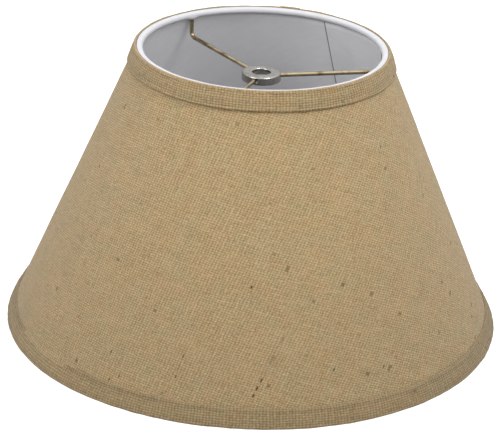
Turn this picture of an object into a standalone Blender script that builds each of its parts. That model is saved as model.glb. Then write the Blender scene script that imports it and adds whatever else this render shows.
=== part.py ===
"""A round, tapered hardback lamp shade with a recessed three-arm washer fitter.

The shade is a cone of burlap over a stiff plastic liner, held open by a wire ring at each rim.
Each rim is finished with a folded burlap trim outside and a cloth tape wrapped over its ring
inside. Three bent wire arms hang from the top ring and hold the pressed hub that the finial
clamps. Units are metres, +Z is up, and the origin is at the middle of the bottom rim.
"""

import math

import bmesh
import bpy
from mathutils import Matrix, Vector

# Cone of the cloth's outer surface
HEIGHT = 0.1785
TOP_CLOTH_RADIUS = 0.0757
BOTTOM_CLOTH_RADIUS = 0.1525

# Wall build-up, measured along the radius
COVER_THICKNESS = 0.0008
LINER_THICKNESS = 0.0005
GAP = 0.0003
EDGE_INSET = 0.0012
LINER_EDGE_INSET = 0.0046

# Seam of the liner
LAP_AZIMUTH = math.radians(49.5)
LAP_STEPS = 2

# Folded burlap trim
TRIM_HEIGHT = 0.0112
TRIM_PROUD = 0.0021
TRIM_FREE_EDGE = 0.0014
TRIM_FOLD_RADIUS = 0.0012
TRIM_FOLD_THICKNESS = 0.0009
TOP_TRIM_LIP = 0.0008
BOTTOM_TRIM_LIP = 0.002

# Rings and tape
WIRE_RADIUS = 0.0013
RING_EDGE_DISTANCE = 0.0023
TAPE_THICKNESS = 0.0004
TAPE_CLEARANCE = 0.0002
TAPE_END = math.radians(240)
SLIT_TOP = 0.0012
SLIT_BOTTOM = 0.006

# Washer fitter
HUB_TOP = 0.1622
HUB_RADIUS = 0.012
HUB_DEPTH = 0.005
HUB_WALL = 0.0012
HUB_PLATE = 0.0008
HUB_EDGE_RADIUS = 0.001
BORE_RADIUS = 0.00555
BORE_LIP_RADIUS = 0.0008
BORE_WALL = 0.001
BORE_DEPTH = 0.004
ARM_AZIMUTHS = {"left": 127.4, "right": 6.5, "front": 250.0}
ARM_HUB_DROP = 0.0025
ARM_END_RADIUS = 0.008
ARM_CORNER_HEIGHT = 0.1623
ARM_BEND_RADIUS = 0.0035
SLOT_WIDTH = 0.0038
SLOT_HEIGHT = 0.0034
SLOT_CUT = 0.003

# Facets
SEGMENTS = 72
HUB_SEGMENTS = 48
WIRE_SIDES = 8

BURLAP = ("burlap", (0.42, 0.31, 0.17, 1.0), 0.95, 0.0)
TRIM = ("burlap_trim", (0.45, 0.34, 0.19, 1.0), 0.95, 0.0)
STYRENE = ("liner_styrene", (0.62, 0.61, 0.62, 1.0), 0.6, 0.0)
TAPE = ("cloth_tape", (0.85, 0.85, 0.86, 1.0), 0.9, 0.0)
RING_STEEL = ("ring_wire", (0.45, 0.43, 0.4, 1.0), 0.4, 1.0)
ARM_STEEL = ("arm_wire", (0.55, 0.5, 0.42, 1.0), 0.3, 1.0)
NICKEL = ("hub_nickel", (0.6, 0.58, 0.55, 1.0), 0.35, 1.0)

# How far the ring wire's centre lies inside the cloth's outer surface
RING_INSET = COVER_THICKNESS + GAP + WIRE_RADIUS


def clear_scene():
    """Removes every object of the scene."""
    for obj in list(bpy.data.objects):
        bpy.data.objects.remove(obj, do_unlink=True)


def cloth_radius(z):
    """Radius of the cloth's outer surface at height z."""
    return BOTTOM_CLOTH_RADIUS + (TOP_CLOTH_RADIUS - BOTTOM_CLOTH_RADIUS) * z / HEIGHT


def arc(centre, radius, start, end, steps):
    """Points (r, z) on an arc from start to end, both included."""
    angles = [start + (end - start) * i / steps for i in range(steps + 1)]
    return [(centre[0] + radius * math.cos(a), centre[1] + radius * math.sin(a)) for a in angles]


def finish_material(spec):
    """The Principled material of a finish: its name, colour, roughness and metallic value."""
    name, colour, roughness, metallic = spec
    material = bpy.data.materials.new(name)
    material.use_nodes = True
    shader = material.node_tree.nodes["Principled BSDF"]
    shader.inputs["Base Color"].default_value = colour
    shader.inputs["Roughness"].default_value = roughness
    shader.inputs["Metallic"].default_value = metallic
    material.diffuse_color = colour
    return material


def add_object(name, data, finish):
    """Links an object with its own material to the scene."""
    obj = bpy.data.objects.new(name, data)
    data.materials.append(finish_material(finish))
    bpy.context.scene.collection.objects.link(obj)
    return obj


def mesh_object(name, bm, finish, smooth=True):
    """Turns a bmesh into an object, with its faces pointing out."""
    bmesh.ops.recalc_face_normals(bm, faces=bm.faces)
    mesh = bpy.data.meshes.new(name)
    bm.to_mesh(mesh)
    bm.free()
    if smooth:
        mesh.shade_smooth()
        mesh.set_sharp_from_angle(angle=math.radians(35))
    return add_object(name, mesh, finish)


def turned(name, profile, finish, segments=SEGMENTS):
    """A closed profile of (r, z) points turned through a full circle about +Z."""
    bm = bmesh.new()
    corners = [bm.verts.new((r, 0, z)) for r, z in profile]
    edges = [bm.edges.new(pair) for pair in zip(corners, corners[1:] + corners[:1])]
    bmesh.ops.spin(
        bm, geom=corners + edges, cent=(0, 0, 0), axis=(0, 0, 1),
        angle=2 * math.pi, steps=segments, use_merge=True,
    )
    return mesh_object(name, bm, finish)


def wall_profile(inset, thickness, edge_inset):
    """Section of a straight cone wall whose outer face lies inset inside the cloth's."""
    low, high = edge_inset, HEIGHT - edge_inset
    outer_low, outer_high = cloth_radius(low) - inset, cloth_radius(high) - inset
    return [
        (outer_low, low), (outer_high, high),
        (outer_high - thickness, high), (outer_low - thickness, low),
    ]


def cover():
    """The burlap cone."""
    return turned("burlap_cover", wall_profile(0, COVER_THICKNESS, EDGE_INSET), BURLAP)


def liner():
    """The plastic liner: one sheet rolled round once, its inner end lapping over its outer end."""
    profile = wall_profile(COVER_THICKNESS + GAP, LINER_THICKNESS, LINER_EDGE_INSET)
    step = 2 * math.pi / SEGMENTS
    bm = bmesh.new()
    turn_to_lap = Matrix.Rotation(LAP_AZIMUTH, 4, "Z")
    end = bm.faces.new([bm.verts.new(turn_to_lap @ Vector((r, 0, z))) for r, z in profile])
    for column in range(1, SEGMENTS + LAP_STEPS + 1):
        grown = bmesh.ops.extrude_face_region(bm, geom=[end])["geom"]
        if column > 1:
            bmesh.ops.delete(bm, geom=[end], context="FACES_ONLY")
        end = next(item for item in grown if isinstance(item, bmesh.types.BMFace))
        bmesh.ops.rotate(bm, verts=end.verts, cent=(0, 0, 0), matrix=Matrix.Rotation(step, 3, "Z"))
        if column == SEGMENTS:
            azimuth = LAP_AZIMUTH + column * step
            inward = Vector((-math.cos(azimuth), -math.sin(azimuth), 0))
            bmesh.ops.translate(bm, verts=end.verts, vec=inward * (LINER_THICKNESS + GAP))
    return mesh_object("liner", bm, STYRENE)


def trim_fold_centre(edge, into):
    """(r, z) of the middle of the trim's rounded fold at a rim."""
    z = edge + into * TRIM_FOLD_RADIUS
    return cloth_radius(z) + TRIM_PROUD - TRIM_FOLD_RADIUS, z


def trim(name, edge, into, lip):
    """Folded burlap strip along a rim, whose lip reaches in over the wall's edge.

    edge is the rim's height, and into the sign of the way in.
    """

    def at(depth, offset):
        z = edge + into * depth
        return cloth_radius(z) + offset, z

    fold_centre = trim_fold_centre(edge, into)
    roof_end = fold_centre[0] - lip
    profile = [
        at(TRIM_HEIGHT, TRIM_FREE_EDGE),
        at(TRIM_HEIGHT / 2, TRIM_PROUD),
        *arc(fold_centre, TRIM_FOLD_RADIUS, 0, -into * math.pi / 2, 3),
        (roof_end, edge),
        (roof_end, edge + into * TRIM_FOLD_THICKNESS),
        at(TRIM_FOLD_THICKNESS, GAP),
        at(TRIM_HEIGHT, GAP),
    ]
    return turned(name, profile, TRIM)


def ring_centre(edge, into):
    """(r, z) of the ring wire's centre at a rim."""
    z = edge + into * RING_EDGE_DISTANCE
    return cloth_radius(z) - RING_INSET, z


def ring(name, edge, into):
    """Wire ring at a rim."""
    circle = arc(ring_centre(edge, into), WIRE_RADIUS, 0, 2 * math.pi, WIRE_SIDES)[:-1]
    return turned(name, circle, RING_STEEL)


def tape(name, edge, into, lip):
    """Cloth tape from beside the trim's lip, over the wall's edge and round the ring's inside."""
    centre = ring_centre(edge, into)
    inner = WIRE_RADIUS + TAPE_CLEARANCE
    outer = inner + TAPE_THICKNESS
    lip_end = trim_fold_centre(edge, into)[0] - lip - GAP
    start, end = -into * math.pi / 2, -into * TAPE_END
    profile = [
        (lip_end, centre[1] - into * outer),
        *arc(centre, outer, start, end, 6),
        *arc(centre, inner, end, start, 6),
        (lip_end, centre[1] - into * inner),
    ]
    return turned(name, profile, TAPE)


def cutter(name, bm, cut):
    """Subtracts a bmesh shape from an object, as a hidden wire object and a Boolean."""
    helper = mesh_object(name, bm, NICKEL, smooth=False)
    helper.hide_render = True
    helper.display_type = "WIRE"
    modifier = cut.modifiers.new(name, "BOOLEAN")
    modifier.object = helper
    modifier.solver = "EXACT"


def arm_line(radius):
    """(r, z) points of an arm's centre line: down from the ring, round the bend, in to the hub."""
    top = HEIGHT - RING_EDGE_DISTANCE - WIRE_RADIUS - GAP
    hub_end = Vector((ARM_END_RADIUS, HUB_TOP - ARM_HUB_DROP))
    corner = Vector((radius, ARM_CORNER_HEIGHT))
    inward = (hub_end - corner).normalized()
    turn = math.pi - inward.angle(Vector((0, 1)))
    tangent = ARM_BEND_RADIUS * math.tan(turn / 2)
    centre = Vector((radius - ARM_BEND_RADIUS, corner.y + tangent))
    bend = arc(centre, ARM_BEND_RADIUS, 0, -turn, 6)
    return [(radius, top), *bend, (Vector(bend[-1]) + hub_end) / 2, hub_end]


def arm(side, azimuth):
    """One bent wire arm of the fitter."""
    radius = ring_centre(HEIGHT, -1)[0]
    points = arm_line(radius)
    curve = bpy.data.curves.new(f"fitter_arm_{side}", "CURVE")
    curve.dimensions = "3D"
    curve.bevel_depth = WIRE_RADIUS
    curve.bevel_resolution = 3
    curve.use_fill_caps = True
    spline = curve.splines.new("POLY")
    spline.points.add(len(points) - 1)
    for point, (r, z) in zip(spline.points, points):
        point.co = (r * math.cos(azimuth), r * math.sin(azimuth), z, 1)
    return add_object(f"fitter_arm_{side}", curve, ARM_STEEL)


def slit_tape_for_arms(top_tape):
    """Opens the top tape below the ring, where each arm comes through it."""
    radius, height = ring_centre(HEIGHT, -1)
    low, high = height - SLIT_BOTTOM, height - SLIT_TOP
    for side, degrees in ARM_AZIMUTHS.items():
        place = Matrix.Rotation(math.radians(degrees), 4, "Z")
        place = place @ Matrix.Translation((radius, 0, (low + high) / 2))
        bm = bmesh.new()
        bmesh.ops.create_cone(
            bm, cap_ends=True, segments=12, radius1=WIRE_RADIUS + GAP,
            radius2=WIRE_RADIUS + GAP, depth=high - low, matrix=place,
        )
        cutter(f"tape_slit_{side}", bm, top_tape)


def hub():
    """Pressed washer: a cup with a turned-down bore and a slot in its wall for each arm."""
    bottom = HUB_TOP - HUB_DEPTH
    underside = HUB_TOP - HUB_PLATE
    edge_centre = (HUB_RADIUS - HUB_EDGE_RADIUS, HUB_TOP - HUB_EDGE_RADIUS)
    lip_centre = (BORE_RADIUS + BORE_LIP_RADIUS, HUB_TOP - BORE_LIP_RADIUS)
    profile = [
        (HUB_RADIUS, bottom),
        *arc(edge_centre, HUB_EDGE_RADIUS, 0, math.pi / 2, 3),
        *arc(lip_centre, BORE_LIP_RADIUS, math.pi / 2, math.pi, 3),
        (BORE_RADIUS, HUB_TOP - BORE_DEPTH),
        (BORE_RADIUS + BORE_WALL, HUB_TOP - BORE_DEPTH),
        (BORE_RADIUS + BORE_WALL, underside),
        (HUB_RADIUS - HUB_WALL, underside),
        (HUB_RADIUS - HUB_WALL, bottom),
    ]
    body = turned("fitter_hub", profile, NICKEL, HUB_SEGMENTS)
    for side, degrees in ARM_AZIMUTHS.items():
        place = Matrix.Rotation(math.radians(degrees), 4, "Z")
        place = place @ Matrix.Translation((HUB_RADIUS, 0, HUB_TOP - ARM_HUB_DROP))
        place = place @ Matrix.Diagonal((SLOT_CUT, SLOT_WIDTH, SLOT_HEIGHT, 1))
        bm = bmesh.new()
        bmesh.ops.create_cube(bm, size=1, matrix=place)
        cutter(f"hub_slot_{side}", bm, body)
    return body


def build():
    """Builds every piece of the shade."""
    clear_scene()
    cover()
    liner()
    trim("top_trim", HEIGHT, -1, TOP_TRIM_LIP)
    trim("bottom_trim", 0, 1, BOTTOM_TRIM_LIP)
    ring("top_ring", HEIGHT, -1)
    ring("bottom_ring", 0, 1)
    top_tape = tape("top_tape", HEIGHT, -1, TOP_TRIM_LIP)
    tape("bottom_tape", 0, 1, BOTTOM_TRIM_LIP)
    for side, degrees in ARM_AZIMUTHS.items():
        arm(side, math.radians(degrees))
    slit_tape_for_arms(top_tape)
    hub()


build()
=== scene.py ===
"""Looks of a round burlap lamp shade with a recessed washer fitter.

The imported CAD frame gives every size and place. This script rolls, folds and turns the visible
pieces around it: the burlap cover and its two folded trims, the plastic liner, the cloth tapes
over the wire rings, and the bent wire arms with their pressed hub. Units are metres and +Z is up.
"""

import logging
import math
from collections.abc import Callable, Sequence
from dataclasses import dataclass
from enum import Enum
from typing import Any

import bmesh
import bpy
from mathutils import Matrix, Quaternion, Vector, noise


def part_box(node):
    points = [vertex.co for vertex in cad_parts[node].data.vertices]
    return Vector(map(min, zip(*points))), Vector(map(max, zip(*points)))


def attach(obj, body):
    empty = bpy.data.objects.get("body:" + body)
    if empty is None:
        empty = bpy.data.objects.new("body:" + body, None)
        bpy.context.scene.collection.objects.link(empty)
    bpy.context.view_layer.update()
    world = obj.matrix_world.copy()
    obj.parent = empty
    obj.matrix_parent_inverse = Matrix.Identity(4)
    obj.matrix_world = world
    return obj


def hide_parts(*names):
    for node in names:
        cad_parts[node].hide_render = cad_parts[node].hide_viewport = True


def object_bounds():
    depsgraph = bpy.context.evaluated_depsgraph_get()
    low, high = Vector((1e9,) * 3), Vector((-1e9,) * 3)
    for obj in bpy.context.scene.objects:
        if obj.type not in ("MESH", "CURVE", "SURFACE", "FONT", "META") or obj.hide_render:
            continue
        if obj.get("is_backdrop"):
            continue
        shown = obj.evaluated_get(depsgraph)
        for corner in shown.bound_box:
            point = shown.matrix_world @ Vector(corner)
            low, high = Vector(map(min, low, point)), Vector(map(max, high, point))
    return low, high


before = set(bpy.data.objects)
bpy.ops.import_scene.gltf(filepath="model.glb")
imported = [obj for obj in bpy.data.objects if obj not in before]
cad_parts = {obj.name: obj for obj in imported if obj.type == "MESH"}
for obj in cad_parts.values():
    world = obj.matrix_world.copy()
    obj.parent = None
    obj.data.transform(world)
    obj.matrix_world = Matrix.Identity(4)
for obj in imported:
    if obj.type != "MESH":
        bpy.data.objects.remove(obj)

LOG = logging.getLogger("lamp_shade")
BODY = "root"
MM = 0.001
FULL_TURN = 2 * math.pi
FRONT = -math.pi / 2

Colour = tuple[float, float, float, float]
Form = bmesh.types.BMesh
Edge = bmesh.types.BMEdge
Piece = bpy.types.Object
Finish = bpy.types.Material
Point = tuple[float, float]


def srgb(red: int, green: int, blue: int) -> Colour:
    """Linear colour, with full alpha, of a display colour whose values go from 0 to 255."""
    shares = [value / 255 for value in (red, green, blue)]
    return (*[s / 12.92 if s <= 0.04045 else ((s + 0.055) / 1.055) ** 2.4 for s in shares], 1.0)


def smooth_step(low: float, high: float, value: float) -> float:
    """Share from 0 to 1 that rises smoothly as a value goes from low to high."""
    share = min(1.0, max(0.0, (value - low) / (high - low)))
    return share * share * (3 - 2 * share)


def ripple(place: Vector, wavelength: float, seed: float = 0.0) -> float:
    """Smooth random height from about -1 to 1. Another seed gives another pattern."""
    return noise.noise(place / wavelength + Vector((seed, 1.7 * seed, -seed)))


# Node trees


class Signal:
    """A value that runs through a material's nodes. Arithmetic on it adds Math nodes."""

    def __init__(self, graph: "Graph", socket: bpy.types.NodeSocket) -> None:
        """Wraps an output socket of a graph's node."""
        self.graph = graph
        self.socket = socket

    def __add__(self, other: "Signal | float") -> "Signal":
        """The sum."""
        return self.graph.math("ADD", self, other)

    __radd__ = __add__

    def __sub__(self, other: "Signal | float") -> "Signal":
        """The difference."""
        return self.graph.math("SUBTRACT", self, other)

    def __rsub__(self, other: float) -> "Signal":
        """The difference, with the number first."""
        return self.graph.math("SUBTRACT", other, self)

    def __mul__(self, other: "Signal | float") -> "Signal":
        """The product."""
        return self.graph.math("MULTIPLY", self, other)

    __rmul__ = __mul__

    def __truediv__(self, other: "Signal | float") -> "Signal":
        """The quotient."""
        return self.graph.math("DIVIDE", self, other)


class Graph:
    """A material's node tree, with one short call for each kind of node."""

    def __init__(self, name: str) -> None:
        """Makes the material, with its Principled shader."""
        self.material = bpy.data.materials.new(name)
        self.material.use_nodes = True
        self.tree = self.material.node_tree
        self.shader = self.tree.nodes["Principled BSDF"]

    def add(self, kind: str, **settings: Any) -> bpy.types.Node:
        """Adds a node.

        Args:
            kind: The node's type name.
            settings: Properties of the node to set.

        Returns:
            The new node.
        """
        node = self.tree.nodes.new(kind)
        for key, value in settings.items():
            setattr(node, key, value)
        return node

    def feed(self, socket: bpy.types.NodeSocket, value: Any) -> None:
        """Links a signal to an input socket, or sets the socket's own value.

        Args:
            socket: The input socket.
            value: A signal, a number or a colour.
        """
        if isinstance(value, Signal):
            self.tree.links.new(value.socket, socket)
        else:
            socket.default_value = value

    def value(self, kind: str, output: str | int, inputs: dict[str | int, Any], **settings: Any) -> Signal:
        """Adds a node with its inputs fed.

        Args:
            kind: The node's type name.
            output: Name or number of the output to return.
            inputs: A signal, number or colour for each input's name or number.
            settings: Properties of the node to set.

        Returns:
            The node's output.
        """
        node = self.add(kind, **settings)
        for key, amount in inputs.items():
            self.feed(node.inputs[key], amount)
        return Signal(self, node.outputs[output])

    def math(self, operation: str, *amounts: "Signal | float") -> Signal:
        """Value of a Math node."""
        return self.value("ShaderNodeMath", "Value", dict(enumerate(amounts)), operation=operation)

    def floor(self, value: Signal) -> Signal:
        """The whole number below a value."""
        return self.math("FLOOR", value)

    def cosine(self, angle: Signal) -> Signal:
        """Cosine of an angle in radians."""
        return self.math("COSINE", angle)

    def root(self, value: Signal) -> Signal:
        """Square root."""
        return self.math("SQRT", value)

    def larger(self, first: Signal, second: "Signal | float") -> Signal:
        """The larger of two values."""
        return self.math("MAXIMUM", first, second)

    def uv(self) -> tuple[Signal, Signal]:
        """The two cloth coordinates of the piece's UV map, in metres."""
        cloth = self.value("ShaderNodeUVMap", "UV", {}, uv_map="cloth")
        return tuple(self.value("ShaderNodeSeparateXYZ", axis, {0: cloth}) for axis in "XY")

    def place(self) -> Signal:
        """The Object coordinates, in metres."""
        return self.value("ShaderNodeTexCoord", "Object", {})

    def vector(self, x: "Signal | float", y: "Signal | float", z: "Signal | float" = 0.0) -> Signal:
        """A vector made of three values."""
        return self.value("ShaderNodeCombineXYZ", "Vector", {"X": x, "Y": y, "Z": z})

    def noise(self, place: Signal, scale: float, detail: float = 2.0, rough: float = 0.5) -> Signal:
        """Smooth noise from 0 to 1, with scale bumps per unit and detail octaves of finer ones."""
        inputs = {"Vector": place, "Scale": scale, "Detail": detail, "Roughness": rough}
        return self.value("ShaderNodeTexNoise", "Fac", inputs)

    def chance(self, number: Signal) -> Signal:
        """A random value from 0 to 1, the same wherever the number is the same."""
        return self.value("ShaderNodeTexWhiteNoise", "Value", {"W": number}, noise_dimensions="1D")

    def ease(self, value: Signal, low: float, high: float, bottom: float = 0.0, top: float = 1.0) -> Signal:
        """Eased and clamped change from bottom to top as a value goes from low to high."""
        inputs = dict(enumerate((value, low, high, bottom, top)))
        return self.value("ShaderNodeMapRange", "Result", inputs, interpolation_type="SMOOTHSTEP")

    def ramp(self, value: Signal, stops: Sequence[tuple[float, Colour]]) -> Signal:
        """Colour along a ramp.

        Args:
            value: Place along the ramp, from 0 to 1.
            stops: Places and colours, in order.

        Returns:
            The colour.
        """
        node = self.add("ShaderNodeValToRGB")
        elements = node.color_ramp.elements
        elements[0].position, elements[0].color = stops[0]
        elements[1].position, elements[1].color = stops[-1]
        for position, colour in stops[1:-1]:
            elements.new(position).color = colour
        self.feed(node.inputs["Fac"], value)
        return Signal(self, node.outputs["Color"])

    def mix(self, share: "Signal | float", first: Any, second: Any, how: str = "MIX") -> Signal:
        """Two colours mixed, with a share from 0 to 1 of the second."""
        inputs = {0: share, 6: first, 7: second}
        return self.value("ShaderNodeMix", 2, inputs, data_type="RGBA", blend_type=how)

    def bump(self, height: Signal, distance: float, strength: float = 1.0) -> Signal:
        """Surface normal of a height, where 1 stands for a distance in metres."""
        inputs = {"Height": height, "Distance": distance, "Strength": strength}
        return self.value("ShaderNodeBump", "Normal", inputs)

    def finish(self, **inputs: Any) -> Finish:
        """Sets the shader's sockets, whose names have underscores for spaces.

        Args:
            inputs: A signal, number or colour for each socket.

        Returns:
            The finished material.
        """
        for key, value in inputs.items():
            self.feed(self.shader.inputs[key.replace("_", " ")], value)
        return self.material


class Numbers:
    """The same four functions as a graph has, on plain numbers."""

    floor = staticmethod(math.floor)
    cosine = staticmethod(math.cos)
    root = staticmethod(math.sqrt)
    larger = staticmethod(max)


# Finishes


@dataclass(frozen=True)
class Weave:
    """A plain weave, drawn on a cloth's flat coordinates in metres.

    warp and weft are threads per metre along the two coordinates, bow bends the weft, fill is a
    thread's share of its pitch, and lift is how far it rises over the thread that it crosses.
    """

    warp: Point
    weft: Point
    bow: float = 0.0
    fill: float = 0.9
    lift: float = 0.55

    def phases(self, x: Any, v: Any) -> tuple[Any, Any]:
        """Counts of warp and weft threads at a place of the cloth."""
        warp = x * self.warp[0] + v * self.warp[1]
        weft = x * self.weft[0] + v * self.weft[1] + x * x * self.bow
        return warp, weft

    def thread(self, kit: Any, across: Any, along: Any) -> Any:
        """Height of one thread: round across its width, and rising at every other crossing.

        Args:
            kit: Numbers, or the graph that the height is worked out in.
            across: Place across the thread's pitch, from 0 to 1.
            along: Count of the crossed threads, even where this thread lies on top.

        Returns:
            The height, from 0 in a hole to 1 on top.
        """
        side = (across - 0.5) * (2 / self.fill)
        crown = kit.root(kit.larger(1.0 - side * side, 0.0))
        swing = kit.cosine((along - 0.5) * math.pi)
        return crown * (1.0 + swing * self.lift) * (1 / (1 + self.lift))

    def heights(self, kit: Any, warp: Any, weft: Any) -> tuple[Any, Any]:
        """Heights of the warp and weft threads at counts of both."""
        column, row = kit.floor(warp), kit.floor(weft)
        over = self.thread(kit, warp - column, weft + column)
        under = self.thread(kit, weft - row, warp + row + 1.0)
        return over, under


@dataclass(frozen=True)
class Fleck:
    """A bit of bark in a warp thread: its middle and length in metres, and its strength."""

    x: float
    v: float
    length: float
    strength: float = 1.0


@dataclass(frozen=True)
class Burlap:
    """Coarse jute cloth: uneven twisted threads with holes, fuzz and stray bark, and painted shade that
    darkens the weave's hollows.

    The two light values scale the colour at the cloth's top and its bottom: painted shade, darker towards
    the bottom.
    """

    name: str
    weave: Weave
    painted_light_top: float = 0.84
    painted_light_bottom: float = 0.67
    flecks: tuple[Fleck, ...] = ()
    relief: float = 0.00028
    hole: Colour = srgb(104, 86, 60)
    valley_shade: Colour = srgb(152, 131, 97)
    body: Colour = srgb(180, 158, 122)
    crest: Colour = srgb(198, 178, 142)
    green_tint: Colour = srgb(250, 252, 248)
    red_tint: Colour = srgb(255, 250, 243)
    bark: Colour = srgb(70, 48, 28)

    def fleck_mask(self, graph: Graph, x: Signal, v: Signal) -> Signal:
        """Strength of the listed flecks at a place of the cloth.

        Args:
            graph: The graph to add to.
            x: The place's first coordinate.
            v: The place's second coordinate.

        Returns:
            The strength, from 0 to 1.
        """
        run = Vector(self.weave.weft).normalized()
        side = Vector(self.weave.warp).normalized()
        mask: Signal | None = None
        for fleck in self.flecks:
            along = ((x - fleck.x) * run.x + (v - fleck.v) * run.y) / (fleck.length / 2)
            across = ((x - fleck.x) * side.x + (v - fleck.v) * side.y) / (0.55 * MM)
            spread = graph.root(along * along + across * across)
            spot = graph.ease(spread, 0.5, 1.3, fleck.strength, 0.0)
            mask = spot if mask is None else graph.larger(mask, spot)
        return mask

    def material(self) -> Finish:
        """Builds the cloth's material on the piece's own flat coordinates.

        Returns:
            The material.
        """
        graph = Graph(self.name)
        x, v = graph.uv()
        cloth = graph.vector(x, v)
        warp, weft = self.weave.phases(x, v)
        warp = warp + (graph.noise(cloth, 45, 3.0) - 0.5) * 1.1
        weft = weft + (graph.noise(graph.vector(v, x, 3.0), 45, 3.0) - 0.5) * 1.1
        warp = warp + (graph.noise(cloth, 260, 1.0) - 0.5) * 0.7
        weft = weft + (graph.noise(graph.vector(v, x, 6.0), 260, 1.0) - 0.5) * 0.7
        over, under = self.weave.heights(graph, warp, weft)
        column, row = graph.floor(warp), graph.floor(weft)
        warp_slub = graph.noise(graph.vector(column * 7.3, weft * 0.16), 1.0, 1.0)
        weft_slub = graph.noise(graph.vector(row * 5.1, warp * 0.13, 9.0), 1.0, 1.0)
        over = over * (0.72 + warp_slub * 0.56)
        under = under * (0.72 + weft_slub * 0.56)
        height = graph.larger(over, under)
        on_warp = graph.ease(over - under, -0.12, 0.12)
        own = graph.math("MULTIPLY_ADD", on_warp, warp_slub - weft_slub, weft_slub)
        shade = graph.chance(column) * on_warp + graph.chance(row + 500.5) * (1.0 - on_warp)
        fibres = self.fibres(graph, warp, weft, on_warp)
        tone = height * 0.66 + (fibres - 0.5) * 0.42 + (shade - 0.5) * 0.07 + (own - 0.5) * 0.2
        tone = tone + (graph.noise(cloth, 620, 2.0) - 0.5) * 0.5
        # Painted shade in the weave: the colour darkens down each thread's sides to the hole colour between
        # threads, which is partly real glue, and is lightest on the crests.
        colour = graph.ramp(
            tone, [(0.02, self.hole), (0.3, self.valley_shade), (0.58, self.body), (0.95, self.crest)]
        )
        patch = graph.ease(graph.noise(graph.place(), 95, 2.0), 0.36, 0.64)
        colour = graph.mix(1.0, colour, graph.mix(patch, self.green_tint, self.red_tint), "MULTIPLY")
        stretch = graph.noise(graph.vector(column * 11.7, weft * 0.21, 21.0), 1.0, 0.0)
        colour = graph.mix(graph.ease(stretch, 0.78, 0.86, 0.0, 0.55), colour, self.bark)
        if self.flecks:
            colour = graph.mix(self.fleck_mask(graph, x, v), colour, self.bark)
        # Painted shade: the colour is scaled down and warmed towards the bottom of the cloth.
        light = graph.ease(v, 0.2, 0.42, self.painted_light_top, self.painted_light_bottom)
        colour = graph.mix(1.0, colour, graph.vector(light, light * 0.985, light * 0.93), "MULTIPLY")
        bumps = height + (fibres - 0.5) * 0.25
        return graph.finish(
            Base_Color=colour,
            Roughness=graph.ease(tone, 0.1, 0.9, 0.95, 0.78),
            Normal=graph.bump(bumps, self.relief),
            Specular_IOR_Level=0.18,
            Sheen_Weight=0.12,
            Sheen_Roughness=0.6,
        )

    def fibres(self, graph: Graph, warp: Signal, weft: Signal, on_warp: Signal) -> Signal:
        """Fine streaks of twisted fibre along whichever thread shows.

        Args:
            graph: The graph to add to.
            warp: Count of warp threads.
            weft: Count of weft threads.
            on_warp: Share of the warp thread in what shows.

        Returns:
            The streaks, from 0 to 1.
        """
        slant = 0.9
        warp_place = graph.vector(warp * 9.0 + weft * slant * 9.0, weft * 1.4)
        weft_place = graph.vector(weft * 9.0 - warp * slant * 9.0, warp * 1.4, 5.0)
        warp_streaks = graph.noise(warp_place, 1.0, 2.0)
        weft_streaks = graph.noise(weft_place, 1.0, 2.0)
        return graph.math("MULTIPLY_ADD", on_warp, warp_streaks - weft_streaks, weft_streaks)


@dataclass(frozen=True)
class Styrene:
    """White plastic sheet with a faint brushed grain, and a dark line along its visible end: painted shadow
    of that end's edge, with some dirt.

    end is the turn of that end on the flat sheet.
    """

    end: float
    name: str = "liner_styrene"
    edge_shadow_and_dirt: Colour = srgb(84, 76, 70)
    pale: Colour = srgb(238, 238, 240)
    dull: Colour = srgb(229, 228, 230)

    def material(self) -> Finish:
        """Builds the sheet's material on its flat coordinates.

        Returns:
            The finished material.
        """
        graph = Graph(self.name)
        x, v = graph.uv()
        streaks = graph.noise(graph.vector(x * 260 + v * 90, v * 55 - x * 30), 1.0, 4.0, 0.6)
        clouds = graph.noise(graph.vector(x, v), 28, 3.0, 0.6)
        tone = streaks * 0.55 + clouds * 0.75
        colour = graph.mix(graph.ease(tone, 0.4, 0.95), self.dull, self.pale)
        # Painted shadow with some dirt: a dark line along the edge of the sheet's lapped end.
        from_end = v * math.sin(self.end) - x * math.cos(self.end)
        edge_shadow_and_dirt_share = graph.ease(from_end, 0.2 * MM, 1.1 * MM, 0.95, 0.0)
        return graph.finish(
            Base_Color=graph.mix(edge_shadow_and_dirt_share, colour, self.edge_shadow_and_dirt),
            Roughness=graph.ease(clouds, 0.2, 0.8, 0.46, 0.62),
            Normal=graph.bump(streaks, 0.08 * MM, 0.6),
            Specular_IOR_Level=0.4,
        )


@dataclass(frozen=True)
class CottonTape:
    """Thin white cotton tape, finely woven, with painted shade between its threads."""

    name: str = "cotton_tape"
    pitch: float = 0.00042
    thread: Colour = srgb(194, 194, 196)
    gap: Colour = srgb(168, 169, 174)

    def material(self) -> Finish:
        """Builds the tape's material on its flat coordinates.

        Returns:
            The finished material.
        """
        graph = Graph(self.name)
        x, v = graph.uv()
        weave = Weave(warp=(1 / self.pitch, 0.0), weft=(0.0, 1 / self.pitch), fill=0.98)
        over, under = weave.heights(graph, *weave.phases(x, v))
        height = graph.larger(over, under)
        cloud = graph.noise(graph.place(), 120, 3.0)
        # Painted shade: the colour darkens into the gaps between threads.
        tone = height * 0.7 + cloud * 0.4
        return graph.finish(
            Base_Color=graph.mix(graph.ease(tone, 0.1, 0.9), self.gap, self.thread),
            Roughness=graph.ease(cloud, 0.2, 0.8, 0.82, 0.92),
            Normal=graph.bump(height + cloud * 0.6, 0.07 * MM, 0.8),
            Specular_IOR_Level=0.25,
            Sheen_Weight=0.1,
        )


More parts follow.
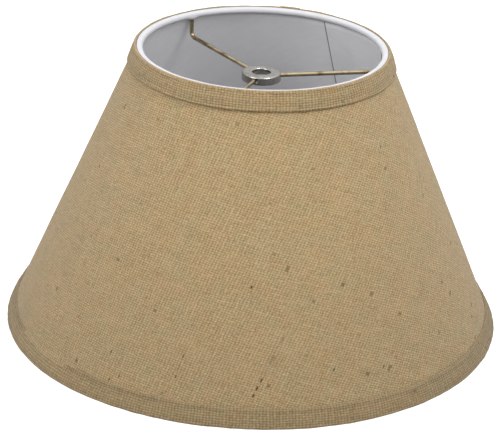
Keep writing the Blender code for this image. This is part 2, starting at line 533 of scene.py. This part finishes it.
@dataclass(frozen=True)
class Metal:
    """Plated steel with a faint grain, small stains and a soft shine."""

    name: str
    bright: Colour
    stain: Colour
    rough: float
    grain: Point = (1500.0, 120.0)

    def material(self) -> Finish:
        """Builds the plating's material on Object coordinates.

        Returns:
            The finished material.
        """
        graph = Graph(self.name)
        place = graph.place()
        cloud = graph.noise(place, 260, 4.0, 0.6)
        grain = graph.noise(place, self.grain[0], 2.0)
        stain = graph.ease(graph.noise(place, self.grain[1], 3.0, 0.65), 0.42, 0.72)
        return graph.finish(
            Base_Color=graph.mix(stain, self.bright, self.stain),
            Metallic=1.0,
            Roughness=graph.ease(cloud * 0.7 + grain * 0.3, 0.25, 0.75, self.rough * 0.8, self.rough * 1.3),
            Normal=graph.bump(grain + cloud, 0.02 * MM, 0.5),
        )


# Shapes


@dataclass(frozen=True)
class Cone:
    """A cone about +Z through two rims, and the flat pattern that it unrolls to."""

    low: float
    high: float
    low_radius: float
    high_radius: float

    @classmethod
    def around(cls, node: str) -> "Cone":
        """The cone of a CAD node's outer surface.

        Args:
            node: Name of the node.

        Returns:
            The cone through the widest points of its lowest and highest rims.
        """
        low, high = (corner.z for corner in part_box(node))
        rims: dict[float, float] = {low: 0.0, high: 0.0}
        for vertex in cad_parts[node].data.vertices:
            for height in rims:
                if abs(vertex.co.z - height) < 0.01 * MM:
                    rims[height] = max(rims[height], vertex.co.xy.length)
        return cls(low, high, rims[low], rims[high])

    @property
    def slope(self) -> float:
        """Change of the radius with the height."""
        return (self.high_radius - self.low_radius) / (self.high - self.low)

    @property
    def sine(self) -> float:
        """Sine of the angle between the side and the axis."""
        return -self.slope / math.hypot(1, self.slope)

    def radius(self, height: float) -> float:
        """Radius of the side at a height."""
        return self.low_radius + self.slope * (height - self.low)

    def flat(self, azimuth: float, height: float) -> Point:
        """Place of a point of the side on the unrolled pattern.

        Args:
            azimuth: Direction of the point, not wrapped.
            height: Height of the point.

        Returns:
            Distance to the right of the front line, and distance below the cone's tip.
        """
        reach = self.radius(height) / self.sine
        turn = (azimuth - FRONT) * self.sine
        return reach * math.sin(turn), reach * math.cos(turn)

    def pattern_size(self, turn: float) -> tuple[float, float, float]:
        """Width, length and area of the pattern that goes round by an angle."""
        inner, outer = self.high_radius / self.sine, self.low_radius / self.sine
        half = turn * self.sine / 2
        width = 2 * outer * math.sin(half)
        return width, outer - inner * math.cos(half), half * (outer**2 - inner**2)


def lengths_along(line: Sequence[Point]) -> list[float]:
    """Length of a line up to each of its points.

    Args:
        line: The line's points.

    Returns:
        One length for each point, the first one 0.
    """
    runs = [0.0]
    for first, second in zip(line, line[1:]):
        runs.append(runs[-1] + math.dist(first, second))
    return runs


def round_point(azimuth: float, radius: float, height: float) -> Vector:
    """Point at a direction, a radius and a height."""
    return Vector((radius * math.cos(azimuth), radius * math.sin(azimuth), height))


def arc(centre: Point, radius: float, start: float, end: float, steps: int) -> list[Point]:
    """Points on an arc from one angle to another, both ends included."""
    angles = [start + (end - start) * step / steps for step in range(steps + 1)]
    return [(centre[0] + radius * math.cos(a), centre[1] + radius * math.sin(a)) for a in angles]


def spaced(points: Sequence[Point], spacing: float) -> list[Point]:
    """The same line with more points on it.

    Args:
        points: Corners of the line.
        spacing: Longest stretch that is left between two points.

    Returns:
        The corners and the points between them.
    """
    line: list[Point] = []
    for first, second in zip(points, points[1:]):
        count = max(1, math.ceil(math.dist(first, second) / spacing))
        start, end = Vector(first), Vector(second)
        line.extend(start.lerp(end, step / count).to_tuple() for step in range(count))
    return [*line, points[-1]]


def rolled_sheet(
    columns: int, rows: int, spot: Callable[[float, float], Vector], chart: Callable[[float, float], Point]
) -> Form:
    """Rolls a flat grid into a shape and keeps where each point was on the flat cloth.

    Args:
        columns: Stretches along the sheet.
        rows: Stretches across it.
        spot: Place of a point, from its shares along and across.
        chart: Cloth coordinates of a point, from the same shares.

    Returns:
        The rolled mesh, with the coordinates in a UV map named cloth.
    """
    bm = bmesh.new()
    bmesh.ops.create_grid(bm, x_segments=columns, y_segments=rows, size=0.5)
    layer = bm.loops.layers.uv.new("cloth")
    for vertex in bm.verts:
        along = round((vertex.co.x + 0.5) * columns) / columns
        across = round((vertex.co.y + 0.5) * rows) / rows
        place = chart(along, across)
        for loop in vertex.link_loops:
            loop[layer].uv = place
        vertex.co = spot(along, across)
    return bm


def close_ring(bm: Form) -> None:
    """Joins the two ends of a sheet that goes right round, and turns its faces out."""
    bmesh.ops.remove_doubles(bm, verts=bm.verts, dist=0.005 * MM)
    bmesh.ops.recalc_face_normals(bm, faces=bm.faces)


def to_mesh(name: str, bm: Form) -> bpy.types.Mesh:
    """Turns a bmesh into a mesh."""
    mesh = bpy.data.meshes.new(name)
    bm.to_mesh(mesh)
    bm.free()
    return mesh


def link(name: str, data: bpy.types.ID) -> Piece:
    """Puts a mesh, a light or a camera in the scene as an object."""
    item = bpy.data.objects.new(name, data)
    bpy.context.scene.collection.objects.link(item)
    return item


def add_piece(
    name: str, bm: Form, material: Finish, slot: str, node: str, sharp: float = 40.0
) -> Piece:
    """Turns a bmesh into a piece that stands for a CAD node.

    Args:
        name: Name of the piece.
        bm: Its shape, in place.
        material: Its finish.
        slot: The record's material slot; not used.
        node: The CAD node that it replaces.
        sharp: Angle in degrees past which an edge isn't shaded smooth.

    Returns:
        The new object.
    """
    mesh = to_mesh(name, bm)
    mesh.shade_smooth()
    mesh.set_sharp_from_angle(angle=math.radians(sharp))
    mesh.materials.append(material)
    piece = link(name, mesh)
    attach(piece, BODY)
    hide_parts(node)
    LOG.info("%s: %d faces", name, len(mesh.polygons))
    return piece


def thicken(piece: Piece, thickness: float) -> None:
    """Gives a sheet whose faces point out its thickness, inwards."""
    modifier = piece.modifiers.new("thickness", "SOLIDIFY")
    modifier.thickness, modifier.offset = thickness, -1.0


# Sub-assemblies

CLOTH = Cone.around("burlap_cover")
SEAM = math.radians(49.5) - FULL_TURN


def wire_radius(ring: str = "top_ring") -> float:
    """Radius of a ring's wire, which the arms are made of too."""
    low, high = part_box(ring)
    return (high.z - low.z) / 2


def bulge(azimuth: float, height: float) -> float:
    """How far the wall stands out of round: a slow swell low on the left.

    Args:
        azimuth: Direction of the place.
        height: Height of the place.

    Returns:
        The distance outwards.
    """
    apart = math.remainder(azimuth - math.radians(212), FULL_TURN) / math.radians(30)
    low = 1 - min(1.0, max(0.0, height / CLOTH.high))
    return 2.0 * MM * math.exp(-apart * apart) * low**2


@dataclass(frozen=True)
class Wall:
    """A flat sheet rolled once round the shade from the seam on, its last end lapped."""

    cone: Cone
    thickness: float
    lap: float
    ramp: float
    columns: int
    rows: int

    def azimuth(self, along: float) -> float:
        """Direction of a place along the sheet."""
        return SEAM + (FULL_TURN + self.lap) * along

    def height(self, across: float) -> float:
        """Height of a place across the sheet."""
        return self.cone.low + (self.cone.high - self.cone.low) * across

    def lapped(self, azimuth: float) -> float:
        """Share of the step on to the sheet's first end."""
        return smooth_step(SEAM + FULL_TURN - self.ramp, SEAM + FULL_TURN, azimuth)

    def offset(self, azimuth: float, flat: Vector) -> float:
        """Distance out from the cone, which each sheet gives for itself."""
        raise NotImplementedError

    def spot(self, along: float, across: float) -> Vector:
        """Place of the sheet's outer surface.

        Args:
            along: Share of the way round.
            across: Share of the way up.

        Returns:
            The place.
        """
        azimuth, height = self.azimuth(along), self.height(across)
        radius = self.cone.radius(height)
        out = self.offset(azimuth, round_point(azimuth, radius, height)) + bulge(azimuth, height)
        return round_point(azimuth, radius + out, height)

    def chart(self, along: float, across: float) -> Point:
        """Place on the flat sheet."""
        return self.cone.flat(self.azimuth(along), self.height(across))

    def roll(self, name: str, material: Finish, slot: str, node: str) -> Piece:
        """Rolls the sheet and gives it its thickness.

        Args:
            name: Name of the piece.
            material: Its finish.
            slot: The record's material slot.
            node: The CAD node that it replaces.

        Returns:
            The new object.
        """
        bm = rolled_sheet(self.columns, self.rows, self.spot, self.chart)
        piece = add_piece(name, bm, material, slot, node)
        thicken(piece, self.thickness)
        return piece


@dataclass(frozen=True)
class Cover(Wall):
    """The burlap cover: one sheet glued round the liner, lapped at the back."""

    cone: Cone = CLOTH
    thickness: float = 0.0008
    lap: float = math.radians(4.5)
    ramp: float = math.radians(3.0)
    columns: int = 440
    rows: int = 84
    flecks: tuple[Fleck, ...] = (
        Fleck(-0.0010, 0.3046, 0.0022),
        Fleck(0.0182, 0.3340, 0.0060, 0.35),
        Fleck(0.0125, 0.3460, 0.0070, 0.4),
        Fleck(0.0068, 0.3578, 0.0030, 0.9),
        Fleck(0.0045, 0.3625, 0.0032),
        Fleck(0.0026, 0.3667, 0.0026),
        Fleck(-0.0390, 0.3460, 0.0026, 0.7),
        Fleck(-0.0412, 0.3520, 0.0050, 0.45),
        Fleck(-0.0430, 0.3580, 0.0022, 0.7),
        Fleck(-0.0853, 0.3460, 0.0022, 0.8),
        Fleck(-0.0853, 0.3620, 0.0024, 0.7),
        Fleck(-0.0788, 0.3600, 0.0022, 0.7),
        Fleck(0.0494, 0.3506, 0.0020, 0.9),
        Fleck(0.0949, 0.3316, 0.0030, 0.35),
        Fleck(0.0880, 0.3405, 0.0050, 0.35),
        Fleck(0.0819, 0.3485, 0.0030, 0.7),
        Fleck(0.0801, 0.2198, 0.0022, 0.8),
        Fleck(0.0078, 0.2562, 0.0020, 0.6),
        Fleck(-0.0507, 0.3680, 0.0022, 0.6),
    )

    def finish(self) -> Burlap:
        """The cover's cloth, cut askew, with the bark that shows in its front."""
        weave = Weave(warp=(513.0, 213.0), weft=(175.0, -700.0), bow=-240.0, fill=1.08, lift=0.95)
        return Burlap("burlap", weave, flecks=self.flecks)

    def offset(self, azimuth: float, flat: Vector) -> float:
        """The step at the lap and the cloth's slight unevenness."""
        uneven = 0.14 * ripple(flat, 0.03) + 0.07 * ripple(flat, 0.009, 4.0)
        return (self.thickness + 0.1 * MM) * self.lapped(azimuth) + uneven * MM

    def build(self) -> None:
        """Builds the cover and works out the size of its flat pattern."""
        piece = self.roll("burlap_cover_cloth", self.finish().material(), "burlap", "burlap_cover")
        width, length, area = self.cone.pattern_size(FULL_TURN + self.lap)


@dataclass(frozen=True)
class Liner(Wall):
    """The plastic liner: one stiff sheet, its inner end lapping inside the outer end."""

    thickness: float = 0.0005
    lap: float = math.radians(10)
    ramp: float = math.radians(2)
    columns: int = 300
    rows: int = 36
    step: float = 0.0006

    def offset(self, azimuth: float, flat: Vector) -> float:
        """The step inwards at the lap and the sheet's slow waves."""
        return -self.step * self.lapped(azimuth) - 0.12 * MM * (1 + ripple(flat, 0.05, 2.0))

    def build(self) -> None:
        """Builds the liner."""
        end = (SEAM + FULL_TURN + self.lap - FRONT) * self.cone.sine
        self.roll("liner_sheet", Styrene(end).material(), "liner_styrene", "liner")


class Rim(Enum):
    """The shade's two rims: the sign of the way from the edge into the shade."""

    TOP = -1
    BOTTOM = 1

    def node(self, kind: str) -> str:
        """Name of the CAD node of a kind of piece at this rim."""
        return f"{self.name.lower()}_{kind}"


@dataclass(frozen=True)
class Trim:
    """A strip of burlap folded over a rim, its edge turned under, lapped at the back."""

    rim: Rim
    proud: float = 0.0021
    edge_proud: float = 0.0015
    fold_radius: float = 0.0012
    layer: float = 0.0009
    warp_pitch: float = 0.00192
    weft_pitch: float = 0.0014
    row_pitch: float = 0.00046
    cells: int = 4
    relief: float = 0.00016
    join: float = math.radians(73)
    lap_length: float = 0.012
    lap_lift: float = 0.0004
    cut_width: float = 0.018
    turned_edge: float = 0.00075
    clearance: float = 0.0001

    @property
    def node(self) -> str:
        """Name of the CAD node."""
        return self.rim.node("trim")

    @property
    def edge(self) -> float:
        """Height of the rim's edge."""
        low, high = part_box(self.node)
        return high.z if self.rim is Rim.TOP else low.z

    @property
    def height(self) -> float:
        """Height of the trim's outer face."""
        low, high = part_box(self.node)
        return high.z - low.z

    @property
    def lip_radius(self) -> float:
        """Radius that the strip reaches in to, over the wall's edge."""
        edge = self.edge
        rim = [v.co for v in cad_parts[self.node].data.vertices if abs(v.co.z - edge) < 0.01 * MM]
        return min(place.xy.length for place in rim)

    def finish(self, weave: Weave) -> Burlap:
        """The strip's cloth, darkened all over with painted shade, the bottom strip more than the top one.
        """
        # Painted shade: a flat darkening of the strip's colour.
        light = 0.7 if self.rim is Rim.TOP else 0.52
        return Burlap(f"burlap_{self.node}", weave, light, light)

    def at(self, depth: float, offset: float) -> Point:
        """Radius and height of a point below the edge and out from the cloth."""
        height = self.edge + self.rim.value * depth
        return CLOTH.radius(height) + offset, height

    def section(self) -> tuple[list[Point], int]:
        """The folded strip's section.

        Returns:
            The section's points, from the free edge up the outer face and back beneath it, and
            how many of them lie on the outside. The last point is the first one again.
        """
        into, high, lip = self.rim.value, self.height, self.turned_edge
        turned = [
            self.at(high, 0.15 * MM),
            self.at(high, self.edge_proud - lip),
            self.at(high - 0.22 * lip, self.edge_proud - 0.28 * lip),
            self.at(high - lip, self.edge_proud + 0.1 * MM),
            self.at(high - 2.4 * MM, self.edge_proud + 0.05 * MM),
            self.at(high * 0.5, self.proud),
        ]
        fold = self.at(self.fold_radius, self.proud - self.fold_radius)
        rounded = arc(fold, self.fold_radius, 0, -into * math.pi / 2, 4)
        outside = spaced([*turned, *rounded, (self.lip_radius, self.edge)], self.row_pitch)
        under = [
            (self.lip_radius, self.edge + into * self.layer),
            self.at(self.layer, self.clearance),
            self.at(high * 0.4, self.clearance),
            self.at(high * 0.7, self.clearance),
            outside[0],
        ]
        return [*outside, *under], len(outside)

    def build(self) -> None:
        """Builds the trim and works out the size of its cut strip."""
        section, outside = self.section()
        edge, lip_radius = self.edge, self.lip_radius
        mid_radius = self.at(self.height / 2, self.proud)[0]
        length = FULL_TURN * mid_radius
        threads = round(length / self.warp_pitch)
        rows = len(section) - 1
        runs = lengths_along(section)
        normals = self.outward(section)
        weave = Weave(warp=(threads / length, 0.0), weft=(0.0, 1 / self.weft_pitch), fill=1.04, lift=0.85)
        lap_share = self.lap_length / length

        def spot(along: float, across: float) -> Vector:
            """Place of a point of the folded strip, with its threads raised.

            Args:
                along: Share of the way round.
                across: Share of the way round the section.

            Returns:
                The point.
            """
            share = along % 1.0
            azimuth = self.join + FULL_TURN * share
            row = round(across * rows) % rows
            radius, height = section[row]
            flat = round_point(azimuth, radius, height)
            out = bulge(azimuth, height) * smooth_step(0.0, 2.5 * MM, radius - lip_radius)
            if row >= outside:
                return round_point(azimuth, radius + out, height)
            threads_high = max(weave.heights(Numbers, *weave.phases(length * along, runs[row]))) - 0.6
            uneven = 0.3 * ripple(flat, 0.022) + 0.22 * ripple(flat, 0.007, 3.0)
            lap = self.lap_lift * smooth_step(lap_share + 0.004, lap_share, share)
            settled = min(1.0, row / 3) * (1 - smooth_step(outside - 4, outside - 1, row))
            swell = lap + (self.relief * threads_high + uneven * MM) * settled
            sway = 0.25 * MM * ripple(flat, 0.03, 8.0) * (1 - smooth_step(0, 12, row)) * min(1.0, row / 2)
            normal = normals[row]
            raised = height + normal[1] * swell + sway
            level = max(raised, edge) if self.rim is Rim.BOTTOM else raised
            return round_point(azimuth, radius + out + normal[0] * swell, level)

        def chart(along: float, across: float) -> Point:
            """Place on the flat strip."""
            return length * along, runs[round(across * rows)]

        bm = rolled_sheet(threads * self.cells, rows, spot, chart)
        close_ring(bm)
        material = self.finish(weave).material()
        piece = add_piece(f"{self.node}_strip", bm, material, "burlap_trim", self.node, 75.0)
        strip = (length + self.lap_length, self.cut_width)

    @staticmethod
    def outward(section: Sequence[Point]) -> list[Point]:
        """Outward direction at each point of a closed section.

        Args:
            section: The closed section, its first point repeated at the end.

        Returns:
            One direction for each point.
        """
        middle = Vector((sum(p[0] for p in section), sum(p[1] for p in section))) / len(section)
        directions = []
        for index, point in enumerate(section):
            ahead = section[min(index + 1, len(section) - 1)]
            behind = section[max(index - 1, 0)]
            run = Vector((ahead[0] - behind[0], ahead[1] - behind[1])).normalized()
            side = Vector((run.y, -run.x))
            if side.dot(Vector(point) - middle) < 0:
                side = -side
            directions.append((side.x, side.y))
        return directions


@dataclass(frozen=True)
class Tape:
    """White cloth tape that starts under a trim's lip and wraps round the wire ring."""

    rim: Rim
    thickness: float = 0.0004
    clearance: float = 0.0002
    columns: int = 960
    end: float = math.radians(298)
    notch: float = 0.0019
    notch_angle: float = math.radians(238)

    @property
    def node(self) -> str:
        """Name of the CAD node."""
        return self.rim.node("tape")

    @property
    def ring(self) -> str:
        """Name of the CAD node of the ring that the tape covers."""
        return self.rim.node("ring")

    def centre(self) -> Point:
        """Radius and height of the ring wire's middle."""
        low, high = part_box(self.ring)
        return high.x - wire_radius(self.ring), (low.z + high.z) / 2

    def section(self) -> list[Point]:
        """Line of the tape's outer face, from the trim's lip over the wire and round it.

        Returns:
            Radius and height of each point.
        """
        into = self.rim.value
        reach = wire_radius(self.ring) + self.clearance + self.thickness
        centre = self.centre()
        lip = (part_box(self.node)[1].x + 0.15 * MM, centre[1] - into * reach)
        wrapped = arc(centre, reach, -into * math.pi / 2, -into * self.end, 24)
        return spaced([lip, wrapped[0]], 0.4 * MM)[:-1] + wrapped

    def build(self, arms: Sequence[float]) -> None:
        """Builds the tape.

        Args:
            arms: Directions of the wire arms that come down through the tape.
        """
        line = self.section()
        centre = Vector(self.centre())
        rows = len(line) - 1
        runs = lengths_along(line)
        flap = rows - 24 + round(24 * (self.notch_angle - math.pi / 2) / (self.end - math.pi / 2))

        def from_arm(azimuth: float) -> float:
            """Distance round the ring to the nearest arm."""
            turns = [abs(math.remainder(azimuth - arm, FULL_TURN)) for arm in arms]
            return min(turns, default=FULL_TURN) * centre.x

        def spot(along: float, across: float) -> Vector:
            """Place of a point of the tape, swollen over each arm.

            Args:
                along: Share of the way round.
                across: Share of the way across.

            Returns:
                The point.
            """
            azimuth = FULL_TURN * along
            row = round(across * rows)
            out = (Vector(line[row]) - centre).normalized()
            flat = round_point(azimuth, *line[row])
            swell = 0.1 * MM * ripple(flat, 0.011, 5.0) + 0.07 * MM * ripple(flat, 0.004, 7.0)
            near = math.exp(-((from_arm(azimuth) / 0.0026) ** 2))
            swell += 0.9 * MM * near * smooth_step(flap - 8, flap, row)
            swell *= smooth_step(-1, 4, row)
            return round_point(azimuth, line[row][0] + out.x * swell, line[row][1] + out.y * swell)

        def chart(along: float, across: float) -> Point:
            """Place on the flat tape."""
            return FULL_TURN * centre.x * along, runs[round(across * rows)]

        bm = rolled_sheet(self.columns, rows, spot, chart)
        close_ring(bm)
        layer = bm.loops.layers.uv["cloth"]
        slit = [
            face for face in bm.faces
            if min(loop[layer].uv.y for loop in face.loops) > (runs[flap] + runs[flap + 1]) / 2
            and from_arm(math.atan2(*face.calc_center_median().yx)) < self.notch
        ]
        bmesh.ops.delete(bm, geom=slit, context="FACES")
        piece = add_piece(f"{self.node}_cloth", bm, CottonTape().material(), "cloth_tape", self.node)
        thicken(piece, self.thickness)
        self.ring


@dataclass(frozen=True)
class Fitter:
    """The washer fitter: a pressed hub and the bent wire arms that hold it."""

    wire_sides: int = 24
    bend_radius: float = 0.0035
    bend_steps: int = 12
    hub_segments: int = 96
    edge_radius: float = 0.001
    lip_radius: float = 0.0008
    wall: float = 0.0012
    plate: float = 0.0008
    bore_radius: float = 0.00555
    bore_wall: float = 0.001
    bore_depth: float = 0.004
    slot_width: float = 0.0038
    slot_height: float = 0.0034

    def arm_nodes(self) -> list[str]:
        """Names of the CAD's arm nodes."""
        return sorted(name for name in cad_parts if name.startswith("fitter_arm_"))

    @staticmethod
    def direction(node: str) -> float:
        """Azimuth of an arm, which lies in one upright plane."""
        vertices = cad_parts[node].data.vertices
        total = sum((vertex.co for vertex in vertices), Vector())
        return math.atan2(total.y, total.x)

    def directions(self) -> list[float]:
        """Azimuths of the arms."""
        return [self.direction(node) for node in self.arm_nodes()]

    def arm(self, node: str, material: Finish) -> None:
        """Builds one arm: down from the ring, round a bend, and in to the hub.

        Args:
            node: Name of the arm's CAD node.
            material: The wire's finish.
        """
        points = [vertex.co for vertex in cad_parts[node].data.vertices]
        reach = [point.xy.length for point in points]
        low, high = (corner.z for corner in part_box(node))
        wire = wire_radius()
        outer = max(reach) - wire
        hub_end = Vector((min(reach), 0, low + wire))
        corner = Vector((outer, 0, hub_end.z + 2.6 * MM))
        inward = (hub_end - corner).normalized()
        turn = math.pi - inward.angle(Vector((0, 0, 1)))
        tangent = self.bend_radius * math.tan(turn / 2)
        bend_start = corner + Vector((0, 0, tangent))
        bm = bmesh.new()
        top = Matrix.Translation((outer, 0, high))
        bmesh.ops.create_circle(bm, cap_ends=True, radius=wire, segments=self.wire_sides, matrix=top)
        ring = self.extend(bm, list(bm.edges), bend_start - Vector((outer, 0, high)))
        centre = bend_start - Vector((self.bend_radius, 0, 0))
        swept = bmesh.ops.spin(
            bm, geom=ring + list({v for edge in ring for v in edge.verts}), cent=centre,
            axis=(0, 1, 0), angle=turn, steps=self.bend_steps, use_merge=False,
        )
        ring = [item for item in swept["geom_last"] if isinstance(item, Edge)]
        bend_end = corner + inward * tangent
        ring = self.extend(bm, ring, hub_end - bend_end)
        bmesh.ops.contextual_create(bm, geom=ring)
        side = Matrix.Rotation(self.direction(node), 3, "Z")
        bmesh.ops.rotate(bm, verts=bm.verts, cent=(0, 0, 0), matrix=side)
        bmesh.ops.recalc_face_normals(bm, faces=bm.faces)
        add_piece(f"{node}_wire", bm, material, "arm_wire", node)

    @staticmethod
    def extend(bm: Form, ring: Sequence[Edge], offset: Vector) -> list[Edge]:
        """Extrudes the wire's open end along a straight stretch.

        Args:
            bm: The wire's mesh.
            ring: Edges of its open end.
            offset: The stretch.

        Returns:
            Edges of the new open end.
        """
        grown = bmesh.ops.extrude_edge_only(bm, edges=ring)["geom"]
        corners = [item for item in grown if isinstance(item, bmesh.types.BMVert)]
        bmesh.ops.translate(bm, verts=corners, vec=offset)
        return [
            item for item in grown
            if isinstance(item, Edge) and all(v in corners for v in item.verts)
        ]

    def hub(self, material: Finish) -> None:
        """Builds the pressed washer: a turned cup with a turned-down bore and slotted wall.

        Args:
            material: The plating.
        """
        low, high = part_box("fitter_hub")
        radius, top, bottom = high.x, high.z, low.z
        underside, outside_bore = top - self.plate, self.bore_radius + self.bore_wall
        edge = (radius - self.edge_radius, top - self.edge_radius)
        lip = (self.bore_radius + self.lip_radius, top - self.lip_radius)
        profile = [
            (radius - 0.15 * MM, bottom),
            (radius, bottom + 0.15 * MM),
            *arc(edge, self.edge_radius, 0, math.pi / 2, 6),
            *arc(lip, self.lip_radius, math.pi / 2, math.pi, 6),
            (self.bore_radius, top - self.bore_depth),
            (outside_bore, top - self.bore_depth),
            (outside_bore, underside),
            (radius - self.wall, underside),
            (radius - self.wall, bottom),
        ]
        bm = bmesh.new()
        corners = [bm.verts.new((r, 0, z)) for r, z in profile]
        sides = [bm.edges.new(pair) for pair in zip(corners, corners[1:] + corners[:1])]
        bmesh.ops.spin(
            bm, geom=corners + sides, cent=(0, 0, 0), axis=(0, 0, 1),
            angle=FULL_TURN, steps=self.hub_segments, use_merge=True,
        )
        bmesh.ops.recalc_face_normals(bm, faces=bm.faces)
        piece = add_piece("fitter_hub_washer", bm, material, "hub_nickel", "fitter_hub", 32.0)
        self.slot_wall(piece, radius)

    def slot_wall(self, piece: Piece, radius: float) -> None:
        """Cuts a slot in the hub's wall for each arm.

        Args:
            piece: The hub.
            radius: Its outer radius.
        """
        bm = bmesh.new()
        for node in self.arm_nodes():
            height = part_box(node)[0].z + wire_radius()
            place = Matrix.Rotation(self.direction(node), 4, "Z") @ Matrix.Translation((radius, 0, height))
            place = place @ Matrix.Diagonal((3 * MM, self.slot_width, self.slot_height, 1))
            bmesh.ops.create_cube(bm, size=1, matrix=place)
        cutter = link("slots", to_mesh("slots", bm))
        modifier = piece.modifiers.new("slots", "BOOLEAN")
        modifier.object = cutter
        modifier.solver = "EXACT"
        graph = bpy.context.evaluated_depsgraph_get()
        cut = bpy.data.meshes.new_from_object(piece.evaluated_get(graph))
        piece.modifiers.clear()
        piece.data = cut
        bpy.data.objects.remove(cutter)

    def build(self) -> None:
        """Builds the hub and the arms."""
        wire = Metal("arm_wire", srgb(180, 164, 132), srgb(118, 98, 70), 0.18).material()
        nickel = Metal("hub_nickel", srgb(174, 171, 164), srgb(146, 141, 132), 0.2).material()
        for node in self.arm_nodes():
            self.arm(node, wire)
        self.hub(nickel)


@dataclass(frozen=True)
class Rings:
    """The two wire rings, which keep their CAD shapes under the tape."""

    def build(self) -> None:
        """Gives both rings their steel."""
        steel = Metal("ring_wire", srgb(170, 164, 154), srgb(120, 112, 100), 0.35).material()
        for rim in Rim:
            name = rim.node("ring")
            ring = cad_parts[name]
            ring.data.materials.clear()
            ring.data.materials.append(steel)
            LOG.info("%s: kept", name)


# Studio


@dataclass(frozen=True)
class Softbox:
    """A square soft light: where it stands, its size and its power."""

    name: str
    place: tuple[float, float, float]
    size: float
    power: float


@dataclass(frozen=True)
class Studio:
    """A pale floor, soft lights and the camera."""

    elevation: float = math.radians(24.01)
    distance: float = 1.3284
    aim: Vector = Vector((-0.00344, 0.0, 0.06466))
    roll: float = math.radians(2.315)
    lens: float = 152.6
    floor_size: float = 24.0
    horizon: Colour = (0.42, 0.42, 0.43, 1.0)
    zenith: Colour = (1.45, 1.46, 1.5, 1.0)
    lights: tuple[Softbox, ...] = (
        Softbox("key", (0.75, -0.62, 1.5), 0.5, 15.0),
        Softbox("fill", (-1.1, -0.8, 1.2), 0.9, 11.0),
    )

    def floor(self) -> None:
        """A pale floor under the shade, which is clear when seen from beneath."""
        bm = bmesh.new()
        level = Matrix.Translation((0, 0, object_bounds()[0].z - 0.05 * MM))
        bmesh.ops.create_grid(bm, x_segments=1, y_segments=1, size=self.floor_size / 2, matrix=level)
        floor = link("floor", to_mesh("floor", bm))
        floor.data.materials.append(self.floor_material())
        floor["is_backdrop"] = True

    def floor_material(self) -> Finish:
        """White paper. Its glow keeps shadows on it faint, and lights only what stands on it.

        Returns:
            The finished material.
        """
        graph = Graph("floor_paper")
        path = graph.add("ShaderNodeLightPath")
        seen = Signal(graph, path.outputs["Is Camera Ray"])
        touching = graph.math("LESS_THAN", Signal(graph, path.outputs["Ray Length"]), 3 * MM)
        material = graph.finish(
            Base_Color=(0.5, 0.5, 0.5, 1.0), Roughness=0.9,
            Emission_Color=(1.0, 1.0, 1.0, 1.0), Emission_Strength=seen * 0.75 + touching * 0.5,
        )
        clear = graph.add("ShaderNodeBsdfTransparent")
        choose = graph.add("ShaderNodeMixShader")
        under = graph.add("ShaderNodeNewGeometry")
        graph.tree.links.new(under.outputs["Backfacing"], choose.inputs[0])
        graph.tree.links.new(graph.shader.outputs[0], choose.inputs[1])
        graph.tree.links.new(clear.outputs[0], choose.inputs[2])
        graph.tree.links.new(choose.outputs[0], graph.tree.nodes["Material Output"].inputs["Surface"])
        return material

    def point(self, item: Piece, place: Vector, roll: float = 0.0) -> None:
        """Stands a light or the camera at a place and turns it to the shade."""
        item.location = place
        item.rotation_mode = "QUATERNION"
        facing = (self.aim - place).to_track_quat("-Z", "Y")
        item.rotation_quaternion = facing @ Quaternion((0, 0, 1), roll)

    def light(self) -> None:
        """The soft lights, and a faint even light that grows towards overhead."""
        for box in self.lights:
            data = bpy.data.lights.new(box.name, "AREA")
            data.size = box.size
            data.energy = box.power
            self.point(link(box.name, data), Vector(box.place))
        world = bpy.data.worlds.new("studio")
        world.use_nodes = True
        tree = world.node_tree
        height = tree.nodes.new("ShaderNodeSeparateXYZ")
        tree.links.new(tree.nodes.new("ShaderNodeTexCoord").outputs["Generated"], height.inputs[0])
        shade = tree.nodes.new("ShaderNodeValToRGB")
        shade.color_ramp.elements[0].color = self.horizon
        shade.color_ramp.elements[1].color = self.zenith
        tree.links.new(height.outputs["Z"], shade.inputs["Fac"])
        tree.links.new(shade.outputs["Color"], tree.nodes["Background"].inputs["Color"])
        bpy.context.scene.world = world
        bpy.context.scene.view_settings.view_transform = "Standard"

    def camera(self) -> None:
        """The camera, straight in front of the shade and above it."""
        data = bpy.data.cameras.new("camera")
        data.lens = self.lens
        data.sensor_width = 36.0
        data.clip_end = 100.0
        back = Vector((0, -math.cos(self.elevation), math.sin(self.elevation)))
        camera = link("camera", data)
        self.point(camera, self.aim + back * self.distance, self.roll)
        bpy.context.scene.camera = camera

    def build(self) -> None:
        """Builds the studio."""
        self.floor()
        self.light()
        self.camera()


def corners() -> list[list[float]]:
    """Lowest and highest corner of what shows, as plain lists."""
    return [[float(value) for value in corner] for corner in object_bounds()]


def main() -> None:
    """Builds the shade's pieces in order, then the studio."""
    logging.basicConfig(level=logging.INFO, format="%(name)s: %(message)s")
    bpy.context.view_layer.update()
    Studio().build()
    Liner(Cone.around("liner")).build()
    Cover().build()
    fitter = Fitter()
    for rim in Rim:
        Trim(rim).build()
    Rings().build()
    Tape(Rim.TOP).build(fitter.directions())
    Tape(Rim.BOTTOM).build([])
    fitter.build()


if __name__ == "__main__":
    main()
